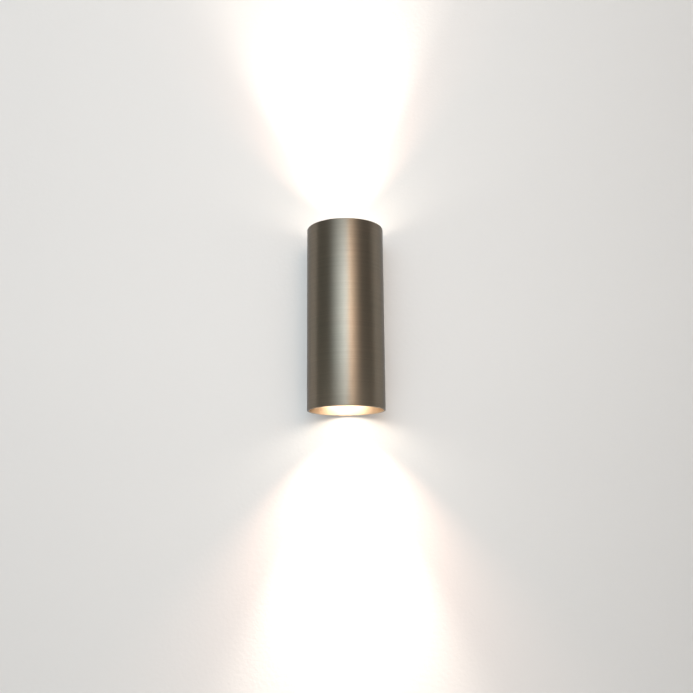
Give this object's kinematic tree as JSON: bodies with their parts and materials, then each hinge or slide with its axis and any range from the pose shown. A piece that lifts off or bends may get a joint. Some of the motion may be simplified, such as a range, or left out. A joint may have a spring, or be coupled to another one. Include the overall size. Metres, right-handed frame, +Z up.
{
  "type": "tube wall light",
  "caption": "Up-and-down wall light: a brushed metal tube, open at both ends, round two back-to-back reflector lamps on a folded wall bracket.",
  "frame": {"origin": "centre of the wall bracket's back face, on the wall", "axes": "+Z up along the tube, +Y into the wall, so the room is on the -Y side"},
  "size_m": [0.075, 0.076, 0.18],
  "materials": {
    "bronze": "brushed round the tube, darkened and lacquered",
    "plated_sheet": "zinc-plated folded sheet, satin",
    "dark_screws": "blackened steel, satin",
    "plated_screws": "zinc-plated, bright",
    "rivet_metal": "plain, satin",
    "bush_rubber": "matt black",
    "ceramic": "unglazed off-white ceramic",
    "insulating_board": "pressed mica board",
    "contact_metal": "tinned, satin",
    "lamp_plastic": "moulded, fine-grained",
    "pin_metal": "nickel-plated, bright",
    "lamp_metal": "die-cast, satin",
    "lens": "clear moulded lens",
    "board_metal": "white-coated metal board",
    "terminal_plastic": "moulded, natural white",
    "clamp_metal": "plain brass",
    "live_insulation": "smooth brown insulation",
    "neutral_insulation": "smooth blue insulation",
    "earth_insulation": "green and yellow insulation"
  },
  "bodies": {
    "bracket": {"wall_bracket": "plated_sheet", "cable_bush": "bush_rubber"},
    "tube": {"bridge_rivets": "rivet_metal", "chassis_screws": "dark_screws", "chassis_strip": "plated_sheet", "earth_ring": "contact_metal", "earth_screw": "plated_screws", "earth_wire": "earth_insulation", "holder_bridge": "plated_sheet", "lower_holder_body": "ceramic", "lower_holder_cap": "insulating_board", "lower_holder_contacts": "contact_metal", "lower_holder_face": "ceramic", "lower_holder_screws": "plated_screws", "lower_live_wire": "live_insulation", "lower_neutral_wire": "neutral_insulation", "set_screws": "dark_screws", "terminal_block": "terminal_plastic", "terminal_block_screws": "plated_screws", "terminal_clamps": "clamp_metal", "terminal_screws": "plated_screws", "tube": "bronze", "upper_holder_body": "ceramic", "upper_holder_cap": "insulating_board", "upper_holder_contacts": "contact_metal", "upper_holder_face": "ceramic", "upper_holder_screws": "plated_screws", "upper_live_wire": "live_insulation", "upper_neutral_wire": "neutral_insulation", "wire_bush": "bush_rubber"},
    "upper_lamp": {"upper_lamp_base": "lamp_plastic", "upper_lamp_pins": "pin_metal", "upper_lamp_housing": "lamp_metal", "upper_lamp_optic": "lens", "upper_lamp_led_board": "board_metal"},
    "lower_lamp": {"lower_lamp_base": "lamp_plastic", "lower_lamp_pins": "pin_metal", "lower_lamp_housing": "lamp_metal", "lower_lamp_optic": "lens", "lower_lamp_led_board": "board_metal"}
  },
  "joints": [
    {"name": "tube_pull_off", "type": "slide", "parent": "bracket", "child": "tube", "axis": [0, -1, 0], "range_m": [0, 0.045]},
    {"name": "upper_lamp_twist", "type": "hinge", "parent": "tube", "child": "upper_lamp", "pos_m": [0, -0.0385, 0.0292], "axis": [0, 0, 1], "range_deg": [0, 45]},
    {"name": "lower_lamp_twist", "type": "hinge", "parent": "tube", "child": "lower_lamp", "pos_m": [0, -0.0385, -0.0292], "axis": [0, 0, -1], "range_deg": [0, 45]}
  ]
}
